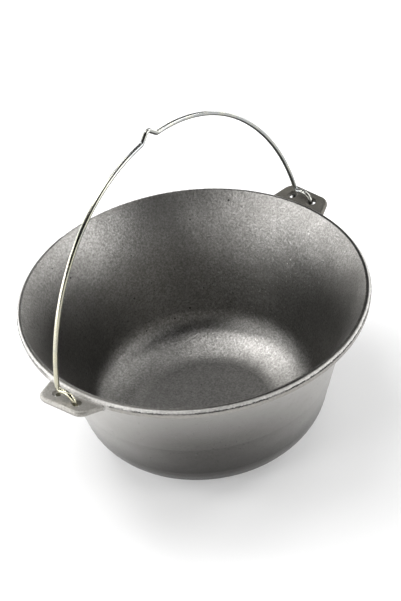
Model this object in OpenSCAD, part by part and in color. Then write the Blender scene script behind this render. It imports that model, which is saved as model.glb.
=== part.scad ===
/* [Bowl] */
// Outside diameter of the rim, over its parting line
rim_d = 300; // [270:1:330]
// Height from the flat base to the top of the rim
bowl_h = 140; // [125:1:170]
// Thickness of the side wall
wall = 4.5; // [3.5:0.5:6]
// Thickness of the floor
floor_t = 5; // [4:0.5:8]
// Steepness of the bell-shaped flare where it reaches the rim, degrees from upright
flare_angle = 31.5; // [27:0.5:35]
// Outside radius of the flare that runs from the rim down into the straight wall
flare_r = 240; // [200:5:280]
// Draft of the straight lower wall, degrees from upright
wall_draft = 14.3; // [11:0.1:18]
// Outside radius of the round corner between the wall and the base
base_corner_r = 40; // [28:1:50]
// Inside radius of the round corner between the wall and the floor
inner_corner_r = 31; // [22:1:40]
// Radius of the shallow dish that leads from that corner to the flat of the floor
floor_dish_r = 70; // [60:5:120]
// Slope of the dish where it meets the corner, degrees
floor_dish_angle = 25; // [10:1:35]

/* [Rim] */
// Height of the rim's collar, from its top down to its lower edge
lip_h = 7.7; // [6.5:0.1:10]
// How far the collar stands out past the wall under it
lip_overhang = 4; // [3:0.1:5]
// Radius of the round along the collar's top outer edge
lip_crown_r = 3; // [2:0.1:4]
// Radius of the round along the collar's lower edge
lip_edge_r = 0.8; // [0.4:0.1:1.2]
// Radius of the fillet between the collar and the wall
lip_fillet_r = 2; // [1:0.1:2.4]
// How far the casting's parting line stands proud of the collar
parting_fin = 0.4; // [0.2:0.1:0.6]
// Width of the parting line where it leaves the collar
parting_w = 1.2; // [0.6:0.2:1.6]

/* [Ears] */
// How far each ear reaches out past the rim, along its slope
ear_out = 19.5; // [17:0.5:26]
// Slope of the ears, which rise a little towards their outer edges, degrees
ear_slope = 10; // [0:0.5:14]
// Width of the ear over its two outer corners
ear_tip_w = 49; // [46:1:60]
// Turn of the ear's outer edge, which reaches further out towards -Y, degrees
ear_skew = 4.3; // [0:0.1:8]
// Angle by which each side of the ear spreads towards the rim, degrees
ear_taper = 18; // [5:0.5:30]
// Thickness of the ear
ear_t = 5; // [4:0.5:6]
// Radius of the ear's outer corners, seen from above
ear_corner_r = 10.5; // [6:0.5:12]
// Depth of the ear's top face below the top of the rim, where it leaves the rim
ear_drop = 3.3; // [3:0.1:4.5]
// How far the gusset under the ear reaches out past the rim
gusset_out = 2; // [1:0.5:4]
// Depth of the gusset below the ear, at the wall
gusset_h = 4; // [3:0.5:8]
// Diameter of the holes for the bail's wire
ear_hole_d = 8.5; // [7.5:0.1:9]
// Distance between the two holes of an ear
ear_hole_pitch = 21; // [20:0.5:23]
// Distance from the rim out to the holes' centres, along the slope
ear_hole_out = 8.4; // [7:0.2:10]

/* [Bail] */
// Diameter of the bail's wire
wire_d = 4; // [3:0.1:4.4]
// Height of the bail's arch above its hinge line, without the crook
bail_h = 152.5; // [140:0.2:170]
// Half angle of the flatter middle arc of the arch
crown_angle = 43; // [36:1:50]
// Lean of the legs towards the middle where they leave the hooks
leg_lean = 10; // [6:0.5:14]
// Lean of the whole bail towards +Y as it stands
bail_lean = 6; // [0:0.5:10]
// Radius of the bend from the hook's ring up into the leg
hook_bend_r = 3.5; // [3:0.5:8]
// Angle past the ring's top at which the wire bends up into the leg
hook_turn = 15; // [0:1:25]
// Angle by which the wire's cut end stands above the ear's mid-plane
hook_tip_angle = 20; // [0:1:40]
// Gap between a hook's ring and the bridge between the two holes, across the middle of the wire
hook_gap = 0.4; // [0.3:0.05:1]

/* [Crook] */
// Height of the crook above the arch, over its middle
crook_h = 6.5; // [4:0.5:9]
// Half width of the crook at its foot
crook_half_w = 10.5; // [9:0.5:14]
// Radius of the crook's top bend, to the middle of the wire
crook_top_r = 4; // [3:0.5:6]
// Radius of the bends at the crook's foot, to the middle of the wire
crook_foot_r = 4; // [3:0.5:6]
// How far the crook sits from the middle of the bail, towards -X
crook_shift = 4.5; // [0:0.5:8]

/* [Hidden] */

// Facets are only for the preview: every face here is a true cylinder, cone or torus
$fn = 96;
flare_fn = 720;
arch_fn = 180;
wire_fn = 24;
// Overlap that keeps cutting and joined shapes from sharing a face
lap = 1;
// How much fuller than the wire the knuckles are that join its bends
knuckle_swell = 0.02;

// The rim
rim_r = rim_d / 2;
collar_r = rim_r - parting_fin;
collar_z = bowl_h - lip_h;
parting_z = bowl_h - lip_crown_r;

// The outside of the wall, as radius and height: the flare starts under the collar
wall_top = [rim_r - lip_overhang, collar_z];
flare_c = wall_top + flare_r * out_normal(flare_angle);
wall_mid = flare_c - flare_r * out_normal(wall_draft);
base_c = corner_centre(wall_mid, base_corner_r, 0);
// The inside of the wall runs parallel to the outside
inner_flare_r = flare_r + wall;
inner_mid = flare_c - inner_flare_r * out_normal(wall_draft);
// The floor's corner is tangent to the wall and, from inside, to the dish's circle
dish_offset = floor_dish_r - inner_corner_r;
corner_floor = floor_t + dish_offset * (1 - cos(floor_dish_angle));
inner_c = corner_centre(inner_mid, inner_corner_r, corner_floor);
dish_c = [inner_c.x - dish_offset * sin(floor_dish_angle), floor_t + floor_dish_r];
dish_edge = dish_c + floor_dish_r * [sin(floor_dish_angle), -cos(floor_dish_angle)];
// The fillet under the collar touches the collar's underside and the flare
fillet_z = collar_z - lip_fillet_r;
fillet_c = [circle_r_at(flare_c, flare_r - lip_fillet_r, fillet_z), fillet_z];
fillet_foot = flare_c + (fillet_c - flare_c) * flare_r / (flare_r - lip_fillet_r);

// The ears, in a frame at the rim that slopes with them: from the rim's edge out, across, and through
ear_root_z = bowl_h - ear_drop - ear_t / 2 / cos(ear_slope);
ear_in = lip_overhang + 2 * wall;
corner_c = [ear_out - ear_corner_r, ear_tip_w / 2 - ear_corner_r];
side_len = (corner_c.x + ear_in) / cos(ear_taper);
edge_depth = ear_corner_r - ear_t / 2;
hinge_z = ear_root_z + ear_hole_out * sin(ear_slope);
hole_x = rim_r + ear_hole_out * cos(ear_slope);

// The hooks: the ring of wire clears the corners of the bridge as it turns
bridge_half_w = (ear_hole_pitch - ear_hole_d) / 2;
bridge_corner = norm([bridge_half_w, ear_t / 2 / cos(ear_slope)]);
hook_r = bridge_corner + hook_gap + wire_d / 2;
bend_c = (hook_r + hook_bend_r) * [sin(hook_turn), cos(hook_turn)];
leg_y = bend_c.x + hook_bend_r;

// The arch: the legs' start, and the two radii that join it to the top
leg_x = hole_x;
leg_z = bend_c.y;
arch_rise = bail_h - leg_z;
arch_det = (cos(leg_lean) - sin(crown_angle)) * (1 - cos(crown_angle))
    - sin(crown_angle) * (cos(crown_angle) - sin(leg_lean));
shoulder_r = (leg_x * (1 - cos(crown_angle)) - sin(crown_angle) * arch_rise) / arch_det;
crown_r = ((cos(leg_lean) - sin(crown_angle)) * arch_rise
    - (cos(crown_angle) - sin(leg_lean)) * leg_x) / arch_det;
crown_z = bail_h - crown_r;
shoulder_c = [(crown_r - shoulder_r) * sin(crown_angle), crown_z + (crown_r - shoulder_r) * cos(crown_angle)];

// The crook, seen from the middle of the crown's arc
crook_turn = asin(crook_shift / crown_r);
foot_angle = asin(crook_half_w / crown_r);
foot_c = (crown_r + crook_foot_r) * [sin(foot_angle), cos(foot_angle)];
top_c = [0, crown_r + crook_h - crook_top_r];
foot_span = norm(foot_c - top_c);
crook_slope = atan2(top_c.y - foot_c.y, foot_c.x) + asin((crook_top_r + crook_foot_r) / foot_span);
slant_len = sqrt(pow(foot_span, 2) - pow(crook_top_r + crook_foot_r, 2));

// Unit vector out of a wall that leans out by this angle from upright
function out_normal(lean) = [cos(lean), -sin(lean)];

// Centre of a round corner that touches the wall through p and the level floor_z
function corner_centre(p, r, floor_z) =
    [p.x - (r + (p.y - floor_z - r) * sin(wall_draft)) / cos(wall_draft), floor_z + r];

// Radius at height z on the near side of a circle of radius r about c
function circle_r_at(c, r, z) = c.x - sqrt(pow(r, 2) - pow(z - c.y, 2));

// A disc in the profile plane
module disc(c, r) {
    translate(c) circle(r);
}

// One side of the wall, filled in to the axis, from floor_z up to top_z
module bowl_section(mid, corner_c, corner_r, arc_r, floor_z, top_z) {
    disc(corner_c, corner_r);
    difference() {
        polygon([
            [0, floor_z],
            [corner_c.x, floor_z],
            corner_c + corner_r * out_normal(wall_draft),
            mid,
            [circle_r_at(flare_c, arc_r, top_z), top_z],
            [0, top_z]
        ]);
        translate(flare_c) circle(arc_r, $fn = flare_fn);
    }
}

// The rim's collar with its rounded edges, parting line and fillet
module collar_section() {
    collar_in = wall_top.x - 2 * wall;
    translate([collar_in, collar_z]) square([collar_r - lip_crown_r - collar_in, lip_h]);
    translate([collar_in, collar_z + lip_edge_r])
        square([collar_r - collar_in, lip_h - lip_crown_r - lip_edge_r]);
    translate([collar_in, collar_z]) square([collar_r - lip_edge_r - collar_in, lip_edge_r]);
    disc([collar_r - lip_crown_r, parting_z], lip_crown_r);
    disc([collar_r - lip_edge_r, collar_z + lip_edge_r], lip_edge_r);
    polygon([
        [collar_r - lap, parting_z + parting_w / 2],
        [collar_r, parting_z + parting_w / 2],
        [rim_r, parting_z],
        [collar_r, parting_z - parting_w / 2],
        [collar_r - lap, parting_z - parting_w / 2]
    ]);
    difference() {
        polygon([
            fillet_foot,
            [fillet_c.x, collar_z],
            [fillet_c.x, collar_z + lap],
            [fillet_foot.x - lap, collar_z + lap],
            [fillet_foot.x - lap, fillet_foot.y]
        ]);
        disc(fillet_c, lip_fillet_r);
    }
}

// The outside of the bowl, solid
module bowl_outside() {
    rotate_extrude() union() {
        bowl_section(wall_mid, base_c, base_corner_r, flare_r, 0, collar_z + lap);
        collar_section();
    }
}

// The flat of the floor and the dish around it, up to the dish's edge
module dish_section() {
    translate([0, floor_t]) square([dish_c.x, dish_edge.y - floor_t]);
    intersection() {
        translate([dish_c.x, floor_t]) square([dish_edge.x - dish_c.x, dish_edge.y - floor_t]);
        disc(dish_c, floor_dish_r);
    }
}

// The hollow of the bowl
module bowl_hollow() {
    rotate_extrude() union() {
        bowl_section(inner_mid, inner_c, inner_corner_r, inner_flare_r, corner_floor, bowl_h + lap);
        dish_section();
    }
}

// Slope of the ear's edge on the side of +Y (1) or -Y (-1), in the frame turned by its skew
function side_slope(side) = ear_taper - side * ear_skew;

// The ear's outer corner centre on that side, let out by one lap past both edges
function tip_point(side) = let (a = side_slope(side))
    [corner_c.x + lap, side * (corner_c.y + lap * (1 - sin(a)) / cos(a))];

// The slab's inner corner on that side
function root_point(side) = let (a = side_slope(side))
    [corner_c.x - side_len * cos(a), side * (corner_c.y + side_len * sin(a) + lap / cos(a))];

// The section of the ear's bull-nosed edge, of thickness t, seen from its corner's centre
module edge_section(from, t) {
    translate([from, -t / 2]) square([edge_depth - from, t]);
    translate([edge_depth, 0]) circle(d = t);
}

// One ear towards +X, in its own sloping frame: slab, bull-nosed edge and gusset
module ear() {
    translate([rim_r, 0, ear_root_z]) rotate([0, -ear_slope, 0]) {
        rotate([0, 0, -ear_skew]) {
            linear_extrude(ear_t, center = true)
                polygon([root_point(-1), tip_point(-1), tip_point(1), root_point(1)]);
            translate([corner_c.x, 0, 0]) rotate([90, 0, 0])
                linear_extrude(2 * corner_c.y, center = true) edge_section(-lap, ear_t);
            for (m = [0, 1]) mirror([0, m, 0]) translate(corner_c) {
                rotate_extrude() edge_section(0, ear_t + 2 * knuckle_swell);
                rotate([90, 0, 90 - side_slope(1 - 2 * m)]) mirror([0, 0, 1])
                    linear_extrude(side_len) edge_section(-lap, ear_t);
            }
        }
        gusset();
    }
}

// The wedge that thickens the ear's root down to the wall, its slope run on into the ear
module gusset() {
    foot = [-lip_overhang - gusset_h * tan(flare_angle + ear_slope), -ear_t / 2 - gusset_h];
    slope_out = (gusset_out - foot.x) / gusset_h;
    rotate([90, 0, 0]) linear_extrude(ear_tip_w, center = true) polygon([
        [gusset_out + slope_out * ear_t / 2, 0],
        foot,
        [-ear_in, foot.y],
        [-ear_in, 0]
    ]);
}

// The casting: bowl, collar and both ears in one piece of iron
module cauldron_body() {
    color("dimgray") difference() {
        union() {
            bowl_outside();
            ear();
            mirror([1, 0, 0]) ear();
        }
        bowl_hollow();
        for (m = [0, 1], side = [-1, 1]) mirror([m, 0, 0])
            translate([hole_x, side * ear_hole_pitch / 2, hinge_z]) rotate([0, -ear_slope, 0])
            cylinder(d = ear_hole_d, h = ear_t + 2 * lap, center = true);
    }
}

// A bend of the wire about the origin in the XZ plane, from one angle to another
module wire_arc(r, from, to) {
    rotate([90, 0, 0]) rotate([0, 0, from]) rotate_extrude(angle = to - from, $fn = arch_fn)
        translate([r, 0]) circle(d = wire_d, $fn = wire_fn);
}

// A round knuckle that joins two bends at p in the XZ plane, its poles along the wire, which leans from upright
module wire_knuckle(p, lean) {
    translate([p.x, 0, p.y]) rotate([0, lean, 0]) sphere(wire_d / 2 + knuckle_swell, $fn = wire_fn);
}

// A straight stretch of wire in the XZ plane, from a point and downward at a slope
module wire_slant(from, slope, len) {
    translate([from.x, 0, from.y]) rotate([0, 90 + slope, 0]) cylinder(d = wire_d, h = len, $fn = wire_fn);
}

// The hook at the +X end: a ring through both holes, then a bend up into the leg
module hook() {
    translate([hole_x, 0, 0]) rotate([0, 0, 90]) {
        wire_arc(hook_r, 90 - hook_turn, 360 + hook_tip_angle);
        wire_knuckle(hook_r * [sin(hook_turn), cos(hook_turn)], 90 + hook_turn);
        translate([bend_c.x, 0, bend_c.y]) wire_arc(hook_bend_r, 270 - hook_turn, 360);
    }
}

// Half of the arch, towards +X, from the crook's foot down to the leg's start
module half_arch(crook_side) {
    translate([0, leg_y, 0]) {
        translate([0, 0, crown_z])
            wire_arc(crown_r, 90 - crown_angle, 90 - foot_angle - crook_side * crook_turn);
        translate([shoulder_c.x, 0, shoulder_c.y]) wire_arc(shoulder_r, leg_lean, 90 - crown_angle);
        wire_knuckle([crown_r * sin(crown_angle), crown_z + crown_r * cos(crown_angle)], crown_angle - 90);
        wire_knuckle([leg_x, leg_z], -leg_lean / 2);
    }
}

// The crook that keeps the bail in place on a hook: the arch's middle bent up
module crook() {
    translate([0, leg_y, crown_z]) rotate([0, -crook_turn, 0]) {
        translate([0, 0, top_c.y]) wire_arc(crook_top_r, 90 - crook_slope, 90 + crook_slope);
        for (m = [0, 1]) mirror([m, 0, 0]) {
            slant_top = top_c + crook_top_r * [sin(crook_slope), cos(crook_slope)];
            wire_knuckle(slant_top, 90 + crook_slope);
            wire_slant(slant_top, crook_slope, slant_len);
            wire_knuckle(slant_top + slant_len * out_normal(crook_slope), 90 + crook_slope);
            translate([foot_c.x, 0, foot_c.y])
                wire_arc(crook_foot_r, 270 - crook_slope, 270 - foot_angle);
            wire_knuckle(crown_r * [sin(foot_angle), cos(foot_angle)], 90 + foot_angle);
        }
    }
}

// The bail: one length of wire, hooked into both ears
module bail() {
    color("silver") translate([0, 0, hinge_z]) rotate([-bail_lean, 0, 0]) {
        crook();
        hook();
        half_arch(-1);
        mirror([1, 0, 0]) {
            hook();
            half_arch(1);
        }
    }
}

cauldron_body();
bail();
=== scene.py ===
"""A cast iron cauldron with a wire bail, on a white sweep under soft studio light."""

import math

import bpy
from mathutils import Matrix, Vector


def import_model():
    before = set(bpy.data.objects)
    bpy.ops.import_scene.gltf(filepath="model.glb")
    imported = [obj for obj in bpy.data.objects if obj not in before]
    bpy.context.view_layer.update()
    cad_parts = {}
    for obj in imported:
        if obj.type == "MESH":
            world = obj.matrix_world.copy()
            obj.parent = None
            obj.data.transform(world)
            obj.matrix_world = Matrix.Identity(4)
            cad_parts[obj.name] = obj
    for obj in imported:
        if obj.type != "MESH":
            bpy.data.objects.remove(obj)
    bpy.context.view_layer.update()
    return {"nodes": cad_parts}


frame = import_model()

# The camera, in metres and degrees, with the tilt and heading of its view
CAMERA_PLACE = Vector((-0.7202, -0.6803, 0.9274))
VIEW_AZIMUTH = -46.95
VIEW_ELEVATION = 38.94
VIEW_ROLL = -6.82
FOCAL_MM = 89.86
SENSOR_MM = 36.0

# The stage
FLOOR_COLOUR = (0.7, 0.7, 0.7)
# Near the pot the floor's glow is lower, a painted contact shadow, between the given radii
CONTACT_SHADE_GLOW = 0.3
FLOOR_GLOW = 0.5
FAR_GLOW = 1.0
SHADE_RING_START, SHADE_RING_END = 0.1, 0.3
FAR_START, FAR_END = 1.0, 2.3
HORIZON_LOW = 0.15
HORIZON_HIGH = 0.32
WHITE = (1.0, 1.0, 1.0)

# The softboxes: name, azimuth, elevation, width, height and power
LIGHT_DISTANCE = 1.8
LIGHT_TARGET = Vector((0.0, 0.0, 0.1))
WORLD_STRENGTH = 0.02
SOFTBOXES = [
    ("low_30", 30, 8, 0.8, 0.8, 8.5),
    ("low_90", 90, 8, 0.8, 0.8, 6.2),
    ("low_150", 150, 8, 0.8, 0.8, 6.3),
    ("low_180", 180, 8, 0.8, 0.8, 6.6),
    ("low_210", 210, 8, 0.8, 0.8, 9.0),
    ("low_240", 240, 8, 0.8, 0.8, 3.7),
    ("low_285", 285, 12, 0.9, 0.7, 3.2),
    ("middle_20", 20, 30, 0.7, 0.7, 4.6),
    ("middle_60", 60, 30, 0.7, 0.7, 9.2),
    ("middle_220", 220, 30, 0.7, 0.7, 7.7),
    ("middle_255", 255, 26, 0.7, 0.7, 9.0),
    ("high_80", 80, 55, 0.45, 0.45, 3.0),
    ("high_158", 158, 58, 0.42, 0.42, 4.2),
    ("high_190", 190, 55, 0.45, 0.45, 7.5),
    ("high_200", 200, 64, 0.45, 0.45, 4.3),
    ("top", 220, 80, 0.6, 0.6, 4.5),
]

# The iron and the wire
INSIDE_DARK = (0.145, 0.14, 0.132)
INSIDE_MIDDLE = (0.27, 0.264, 0.252)
INSIDE_LIGHT = (0.43, 0.42, 0.404)
# The outside's tones are set far darker than the inside's, painted shade for the dim floor that the outer wall
# reflects
OUTSIDE_DARK = (0.044, 0.0412, 0.037)
OUTSIDE_LIGHT = (0.079, 0.0743, 0.067)
# The colour of a painted reflection at the outside's edges
OUTSIDE_PAINTED_REFLECTION = (0.42, 0.407, 0.385)
# Painted shade at the outside's base: its colour, the height band where it turns dull and near black, and that
# band's roughness
PAINTED_BASE_SHADE = (0.018, 0.017, 0.016)
SHADED_BAND_LOW, SHADED_BAND_HIGH = 0.002, 0.022
SHADED_BAND_ROUGH = 0.8
COLLAR_DARK = (0.34, 0.333, 0.318)
COLLAR_LIGHT = (0.6, 0.588, 0.565)
EAR_DARK = (0.25, 0.241, 0.222)
EAR_LIGHT = (0.42, 0.407, 0.378)
# The colour of painted shade on the far ear
FAR_EAR_PAINTED_SHADE = (0.085, 0.08, 0.066)
FLANK_DARK = (0.26, 0.25, 0.232)
FLANK_LIGHT = (0.38, 0.366, 0.342)
PIT = (0.03, 0.029, 0.028)
IRON_METALLIC = 0.97
OIL = 0.42
OIL_ROUGH = 0.32
INSIDE_ROUGH = (0.36, 0.27)
OUTSIDE_ROUGH = (0.26, 0.34)
COLLAR_ROUGH = 0.38
EAR_ROUGH = 0.5
COLLAR_RADIUS = 0.1475
COLLAR_BOTTOM = 0.1315
EAR_HALF_WIDTH = 0.031
EAR_ROOT = 0.1503
SEAM_HEIGHT = 0.137
ZINC_GREY = (0.3, 0.308, 0.306)
ZINC_YELLOW = (0.52, 0.5, 0.375)


def new_material(name):
    """A material with an empty node tree, and its output and shader nodes."""
    material = bpy.data.materials.new(name)
    material.use_nodes = True
    nodes = material.node_tree.nodes
    nodes.clear()
    output = nodes.new("ShaderNodeOutputMaterial")
    shader = nodes.new("ShaderNodeBsdfPrincipled")
    material.node_tree.links.new(shader.outputs["BSDF"], output.inputs["Surface"])
    return material, nodes, material.node_tree.links, shader


def noise(nodes, links, coords, scale, detail=4.0, roughness=0.5):
    """A noise texture on the object's own coordinates, with cells of about 1/scale metres."""
    node = nodes.new("ShaderNodeTexNoise")
    node.inputs["Scale"].default_value = scale
    node.inputs["Detail"].default_value = detail
    node.inputs["Roughness"].default_value = roughness
    links.new(coords.outputs["Object"], node.inputs["Vector"])
    return node.outputs["Fac"]


def ramp(nodes, links, value, stops):
    """A colour ramp over a value, from (position, colour) stops."""
    node = nodes.new("ShaderNodeValToRGB")
    elements = node.color_ramp.elements
    while len(elements) < len(stops):
        elements.new(0.5)
    for element, (position, colour) in zip(elements, stops):
        element.position = position
        element.color = (*colour, 1.0)
    links.new(value, node.inputs["Fac"])
    return node.outputs["Color"]


def spread(nodes, links, value, low, high, to_low, to_high):
    """A value mapped from one range to another."""
    node = nodes.new("ShaderNodeMapRange")
    node.inputs["From Min"].default_value = low
    node.inputs["From Max"].default_value = high
    node.inputs["To Min"].default_value = to_low
    node.inputs["To Max"].default_value = to_high
    links.new(value, node.inputs["Value"])
    return node.outputs["Result"]


def bump(nodes, links, height, distance, strength=1.0, normal=None):
    """A bump of the given height in metres, on top of an earlier one."""
    node = nodes.new("ShaderNodeBump")
    node.inputs["Strength"].default_value = strength
    node.inputs["Distance"].default_value = distance
    links.new(height, node.inputs["Height"])
    if normal is not None:
        links.new(normal, node.inputs["Normal"])
    return node.outputs["Normal"]


def joined(nodes, links, operation, first, second):
    """A maths node over two values, where each is a socket or a number."""
    node = nodes.new("ShaderNodeMath")
    node.operation = operation
    for slot, value in zip(node.inputs, (first, second)):
        if isinstance(value, (int, float)):
            slot.default_value = value
        else:
            links.new(value, slot)
    return node.outputs["Value"]


def tinted(nodes, links, factor, first, second):
    """A mix of two colours, where each is a socket or a plain colour."""
    node = nodes.new("ShaderNodeMix")
    node.data_type = "RGBA"
    links.new(factor, node.inputs["Factor"])
    for slot, value in ((6, first), (7, second)):
        if isinstance(value, tuple):
            node.inputs[slot].default_value = (*value, 1.0)
        else:
            links.new(value, node.inputs[slot])
    return node.outputs[2]


def blended(nodes, links, factor, first, second):
    """A mix of two values, where each is a socket or a number."""
    node = nodes.new("ShaderNodeMix")
    node.data_type = "FLOAT"
    links.new(factor, node.inputs[0])
    for slot, value in ((2, first), (3, second)):
        if isinstance(value, (int, float)):
            node.inputs[slot].default_value = value
        else:
            links.new(value, node.inputs[slot])
    return node.outputs[0]


def place(nodes, links, coords):
    """The distance from the bowl's axis, the height and the distance from the ears' middle line, in metres."""
    split = nodes.new("ShaderNodeSeparateXYZ")
    links.new(coords.outputs["Object"], split.inputs["Vector"])
    flat = nodes.new("ShaderNodeCombineXYZ")
    links.new(split.outputs["X"], flat.inputs["X"])
    links.new(split.outputs["Y"], flat.inputs["Y"])
    length = nodes.new("ShaderNodeVectorMath")
    length.operation = "LENGTH"
    links.new(flat.outputs["Vector"], length.inputs[0])
    return length.outputs["Value"], split.outputs["Z"], joined(nodes, links, "ABSOLUTE", split.outputs["Y"], 0.0)


def outside(nodes, links, coords):
    """1 on faces that look away from the bowl's axis, and 0 on those that look at it."""
    cross = nodes.new("ShaderNodeVectorMath")
    cross.operation = "MULTIPLY"
    links.new(coords.outputs["Object"], cross.inputs[0])
    cross.inputs[1].default_value = (1.0, 1.0, 0.0)
    facing = nodes.new("ShaderNodeVectorMath")
    facing.operation = "DOT_PRODUCT"
    links.new(cross.outputs["Vector"], facing.inputs[0])
    links.new(coords.outputs["Normal"], facing.inputs[1])
    return spread(nodes, links, facing.outputs["Value"], -0.01, 0.01, 0.0, 1.0)


def band(nodes, links, value, centre, half_width, edge):
    """1 where a value lies within half_width of the centre, and 0 from an edge further out."""
    away = joined(nodes, links, "ABSOLUTE", joined(nodes, links, "SUBTRACT", value, centre), 0.0)
    return spread(nodes, links, away, half_width, half_width + edge, 1.0, 0.0)


def pits(nodes, links, coords, scale, share, size):
    """1 in small round pits, in a share of the cells of the given number per metre."""
    cells = nodes.new("ShaderNodeTexVoronoi")
    cells.inputs["Scale"].default_value = scale
    links.new(coords.outputs["Object"], cells.inputs["Vector"])
    split = nodes.new("ShaderNodeSeparateColor")
    links.new(cells.outputs["Color"], split.inputs["Color"])
    reach = spread(nodes, links, split.outputs["Red"], 1.0 - share, 1.0, 0.0, size * scale)
    inside = joined(nodes, links, "SUBTRACT", reach, cells.outputs["Distance"])
    return spread(nodes, links, inside, 0.0, 0.25 * size * scale, 0.0, 1.0)


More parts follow.
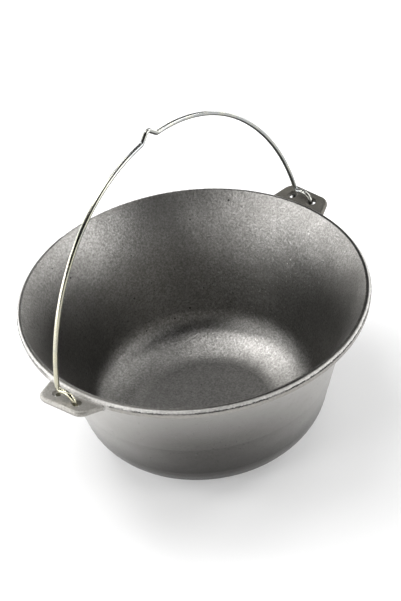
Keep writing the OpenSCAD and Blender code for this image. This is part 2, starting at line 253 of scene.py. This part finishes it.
def cast_iron():
    """Bare sand-cast iron: mottled inside, smoother outside, and paler on its dressed collar and ears, with
    painted shade on the outside and the far ear and a painted reflection at the outside's edges.
    """
    material, nodes, links, shader = new_material("cast_iron")
    coords = nodes.new("ShaderNodeTexCoord")
    radius, height, across = place(nodes, links, coords)
    grain = noise(nodes, links, coords, 520.0, 5.0, 0.7)
    specks = noise(nodes, links, coords, 1400.0, 3.0, 0.6)
    stains = noise(nodes, links, coords, 26.0, 5.0, 0.6)
    waves = noise(nodes, links, coords, 30.0, 2.0, 0.4)
    holes = pits(nodes, links, coords, 150.0, 0.25, 0.0012)
    away = outside(nodes, links, coords)
    collar = joined(nodes, links, "MULTIPLY",
                    spread(nodes, links, radius, COLLAR_RADIUS, COLLAR_RADIUS + 0.001, 0.0, 1.0),
                    spread(nodes, links, height, COLLAR_BOTTOM, COLLAR_BOTTOM + 0.001, 0.0, 1.0))
    plain = joined(nodes, links, "SUBTRACT", 1.0, away)
    clear_of_ears = spread(nodes, links, across, EAR_HALF_WIDTH, EAR_HALF_WIDTH + 0.004, 0.0, 1.0)
    ear = joined(nodes, links, "MULTIPLY", joined(nodes, links, "SUBTRACT", 1.0, clear_of_ears),
                 spread(nodes, links, radius, EAR_ROOT, EAR_ROOT + 0.001, 0.0, 1.0))

    inner = ramp(nodes, links, grain,
                 [(0.3, INSIDE_DARK), (0.5, INSIDE_MIDDLE), (0.7, INSIDE_LIGHT)])
    # Painted shade: the outside's tones are far darker than the inside's
    outer = ramp(nodes, links, grain, [(0.3, OUTSIDE_DARK), (0.7, OUTSIDE_LIGHT)])
    # Painted reflection: above the base, the outside pales towards its edges as the camera sees them
    edge = nodes.new("ShaderNodeLayerWeight")
    edge.inputs["Blend"].default_value = 0.5
    edge = joined(nodes, links, "MULTIPLY", spread(nodes, links, edge.outputs["Facing"], 0.49, 0.8, 0.0, 1.0),
                  spread(nodes, links, height, 0.01, 0.05, 0.0, 1.0))
    outer = tinted(nodes, links, edge, outer, OUTSIDE_PAINTED_REFLECTION)
    # Painted shade: the outside darkens towards its base, for the shadowed floor that it reflects
    outer = tinted(nodes, links, spread(nodes, links, height, 0.0, 0.075, 0.95, 0.0), outer, PAINTED_BASE_SHADE)
    dressed = ramp(nodes, links, grain, [(0.3, COLLAR_DARK), (0.7, COLLAR_LIGHT)])
    iron = tinted(nodes, links, away, inner, outer)
    ear_iron = ramp(nodes, links, grain, [(0.3, EAR_DARK), (0.7, EAR_LIGHT)])
    split = nodes.new("ShaderNodeSeparateXYZ")
    links.new(coords.outputs["Object"], split.inputs["Vector"])
    # Painted shade: the ear at +X, the far one, is darkened
    far_ear_shade = spread(nodes, links, split.outputs["X"], 0.13, 0.15, 0.0, 0.85)
    ear_iron = tinted(nodes, links, far_ear_shade, ear_iron, FAR_EAR_PAINTED_SHADE)
    dressed = tinted(nodes, links, ear, dressed, ear_iron)
    flank = ramp(nodes, links, grain, [(0.3, FLANK_DARK), (0.7, FLANK_LIGHT)])
    below = joined(nodes, links, "MULTIPLY", clear_of_ears,
                   spread(nodes, links, height, SEAM_HEIGHT - 0.0006, SEAM_HEIGHT, 1.0, 0.0))
    iron = tinted(nodes, links, collar, iron, tinted(nodes, links, below, dressed, flank))
    stain = spread(nodes, links, stains, 0.42, 0.7, 0.0, 0.4)
    iron = tinted(nodes, links, joined(nodes, links, "MULTIPLY", stain, plain), iron, INSIDE_DARK)
    depth = spread(nodes, links, away, 0.0, 1.0, 0.8, 0.3)
    iron = tinted(nodes, links, joined(nodes, links, "MULTIPLY", holes, depth), iron, PIT)

    wander = joined(nodes, links, "MULTIPLY", joined(nodes, links, "SUBTRACT", grain, 0.5), 0.004)
    seam_height = joined(nodes, links, "ADD", height, wander)
    seam = band(nodes, links, seam_height, SEAM_HEIGHT, 0.0007, 0.0003)
    seam = joined(nodes, links, "MULTIPLY", seam, spread(nodes, links, radius, 0.1492, 0.1496, 0.0, 1.0))
    seam = joined(nodes, links, "MULTIPLY", seam, spread(nodes, links, stains, 0.35, 0.5, 0.3, 1.0))
    seam = joined(nodes, links, "MULTIPLY", seam, spread(nodes, links, specks, 0.4, 0.5, 0.45, 1.0))
    seam = joined(nodes, links, "MULTIPLY", seam, clear_of_ears)
    iron = tinted(nodes, links, seam, iron, PIT)
    links.new(iron, shader.inputs["Base Color"])

    # Painted contact shadow: at the very base the outside turns dull and non-metallic, near black
    painted_contact_shade = joined(nodes, links, "MULTIPLY", away, spread(nodes, links, height, SHADED_BAND_LOW, SHADED_BAND_HIGH, 1.0, 0.0))
    links.new(spread(nodes, links, painted_contact_shade, 0.0, 1.0, IRON_METALLIC, 0.0), shader.inputs["Metallic"])
    rough = blended(nodes, links, away, spread(nodes, links, grain, 0.3, 0.7, *INSIDE_ROUGH),
                    spread(nodes, links, grain, 0.3, 0.7, *OUTSIDE_ROUGH))
    dressed_rough = spread(nodes, links, ear, 0.0, 1.0, COLLAR_ROUGH, EAR_ROUGH)
    rough = blended(nodes, links, collar, rough, dressed_rough)
    rough = blended(nodes, links, painted_contact_shade, rough, SHADED_BAND_ROUGH)
    links.new(spread(nodes, links, painted_contact_shade, 0.0, 1.0, 0.5, 0.0), shader.inputs["Specular IOR Level"])
    links.new(joined(nodes, links, "MAXIMUM", rough, seam), shader.inputs["Roughness"])
    oil = joined(nodes, links, "MULTIPLY", away, spread(nodes, links, height, 0.012, 0.06, 0.0, OIL))
    links.new(blended(nodes, links, collar, oil, 0.0), shader.inputs["Coat Weight"])
    shader.inputs["Coat Roughness"].default_value = OIL_ROUGH
    relief = blended(nodes, links, away, 0.75, 0.4)
    relief = blended(nodes, links, collar, relief, spread(nodes, links, ear, 0.0, 1.0, 2.0, 0.8))
    normal = bump(nodes, links, waves, 0.004, 0.25)
    normal = bump(nodes, links, joined(nodes, links, "MULTIPLY", grain, relief), 0.0009, 0.5, normal)
    normal = bump(nodes, links, joined(nodes, links, "MULTIPLY", specks, relief), 0.0003, 0.4, normal)
    normal = bump(nodes, links, joined(nodes, links, "MULTIPLY", holes, -1.0), 0.0005, 0.6, normal)
    links.new(normal, shader.inputs["Normal"])
    return material


def galvanised_wire():
    """Drawn wire with a zinc coat, yellower towards one end of the bail and greyer towards the other."""
    material, nodes, links, shader = new_material("galvanised_wire")
    coords = nodes.new("ShaderNodeTexCoord")
    mottle = noise(nodes, links, coords, 90.0, 4.0, 0.6)
    scuffs = noise(nodes, links, coords, 900.0, 3.0, 0.6)
    split = nodes.new("ShaderNodeSeparateXYZ")
    links.new(coords.outputs["Object"], split.inputs["Vector"])
    along = spread(nodes, links, split.outputs["X"], -0.16, -0.02, 0.85, 0.1)
    patchy = joined(nodes, links, "ADD", along, spread(nodes, links, mottle, 0.3, 0.7, -0.3, 0.3))
    colour = ramp(nodes, links, patchy, [(0.0, ZINC_GREY), (1.0, ZINC_YELLOW)])
    links.new(colour, shader.inputs["Base Color"])
    shader.inputs["Metallic"].default_value = 1.0
    links.new(spread(nodes, links, scuffs, 0.3, 0.7, 0.16, 0.26), shader.inputs["Roughness"])
    links.new(bump(nodes, links, mottle, 0.0003, 0.2), shader.inputs["Normal"])
    return material


def paint(obj, material):
    """Gives a mesh one material."""
    obj.data.materials.clear()
    obj.data.materials.append(material)


def seen_ray(nodes, links):
    """1 on rays from the camera and in reflections and glass, and 0 on rays that carry light."""
    path = nodes.new("ShaderNodeLightPath")
    seen = joined(nodes, links, "MAXIMUM", path.outputs["Is Camera Ray"], path.outputs["Is Glossy Ray"])
    return joined(nodes, links, "MAXIMUM", seen, path.outputs["Is Transmission Ray"])


def stage():
    """A wide white floor that keeps the object's shadow, with a glow that dims close to the pot as a painted
    contact shadow, and stays white beyond the lamps.
    """
    bpy.ops.mesh.primitive_plane_add(size=30.0, location=(0, 0, -0.0005))
    floor = bpy.context.object
    floor.name = "floor"
    material, nodes, links, shader = new_material("floor")
    shader.inputs["Base Color"].default_value = (*FLOOR_COLOUR, 1.0)
    shader.inputs["Roughness"].default_value = 0.9
    shader.inputs["Emission Color"].default_value = (*WHITE, 1.0)
    radius, _, _ = place(nodes, links, nodes.new("ShaderNodeTexCoord"))
    # Painted contact shadow: the glow is lowest close to the pot
    glow = spread(nodes, links, radius, SHADE_RING_START, SHADE_RING_END, CONTACT_SHADE_GLOW, FLOOR_GLOW)
    far = spread(nodes, links, radius, FAR_START, FAR_END, 0.0, FAR_GLOW - FLOOR_GLOW)
    glow = joined(nodes, links, "ADD", glow, far)
    glow = joined(nodes, links, "MULTIPLY", seen_ray(nodes, links), glow)
    links.new(glow, shader.inputs["Emission Strength"])
    floor.data.materials.append(material)


def world():
    """A dim studio whose low backdrop is white to the camera and in the metal."""
    bpy.context.scene.world = bpy.data.worlds.new("surround")
    surround = bpy.context.scene.world
    surround.use_nodes = True
    nodes, links = surround.node_tree.nodes, surround.node_tree.links
    background = nodes["Background"]
    background.inputs["Color"].default_value = (*WHITE, 1.0)
    split = nodes.new("ShaderNodeSeparateXYZ")
    links.new(nodes.new("ShaderNodeTexCoord").outputs["Generated"], split.inputs["Vector"])
    low = spread(nodes, links, split.outputs["Z"], HORIZON_LOW, HORIZON_HIGH, 1.0, 0.0)
    low = joined(nodes, links, "MULTIPLY", low, seen_ray(nodes, links))
    links.new(joined(nodes, links, "MAXIMUM", low, WORLD_STRENGTH), background.inputs["Strength"])


def direction(azimuth, elevation):
    """The unit vector at an azimuth from -Y, towards +X, and an elevation, in degrees."""
    turn, rise = math.radians(azimuth), math.radians(elevation)
    return Vector((
        math.sin(turn) * math.cos(rise),
        -math.cos(turn) * math.cos(rise),
        math.sin(rise),
    ))


def softbox(name, azimuth, elevation, width, height, power):
    """A rectangular softbox at a direction from the pot's mouth, aimed at it."""
    data = bpy.data.lights.new(name, "AREA")
    data.shape = "RECTANGLE"
    data.size = width
    data.size_y = height
    data.energy = power
    lamp = bpy.data.objects.new(name, data)
    away = direction(azimuth, elevation)
    lamp.location = away * LIGHT_DISTANCE + LIGHT_TARGET
    lamp.rotation_euler = (-away).to_track_quat("-Z", "Y").to_euler()
    bpy.context.scene.collection.objects.link(lamp)


def camera():
    """The photograph's camera: a long lens, high on the left, rolled a little."""
    roll = math.radians(VIEW_ROLL)
    back = direction(VIEW_AZIMUTH, VIEW_ELEVATION)
    right = Vector((0, 0, 1)).cross(back).normalized()
    up = back.cross(right)
    rolled_right = right * math.cos(roll) + up * math.sin(roll)
    rolled_up = up * math.cos(roll) - right * math.sin(roll)
    data = bpy.data.cameras.new("camera")
    data.lens = FOCAL_MM
    data.sensor_width = SENSOR_MM
    data.sensor_fit = "AUTO"
    view = bpy.data.objects.new("camera", data)
    turn = Matrix((rolled_right, rolled_up, back)).transposed().to_4x4()
    view.matrix_world = Matrix.Translation(CAMERA_PLACE) @ turn
    bpy.context.scene.collection.objects.link(view)
    bpy.context.scene.camera = view


bpy.context.scene.view_settings.view_transform = "Standard"
camera()
stage()
world()
for softbox_values in SOFTBOXES:
    softbox(*softbox_values)
paint(frame["nodes"]["cauldron_body"], cast_iron())
paint(frame["nodes"]["bail"], galvanised_wire())
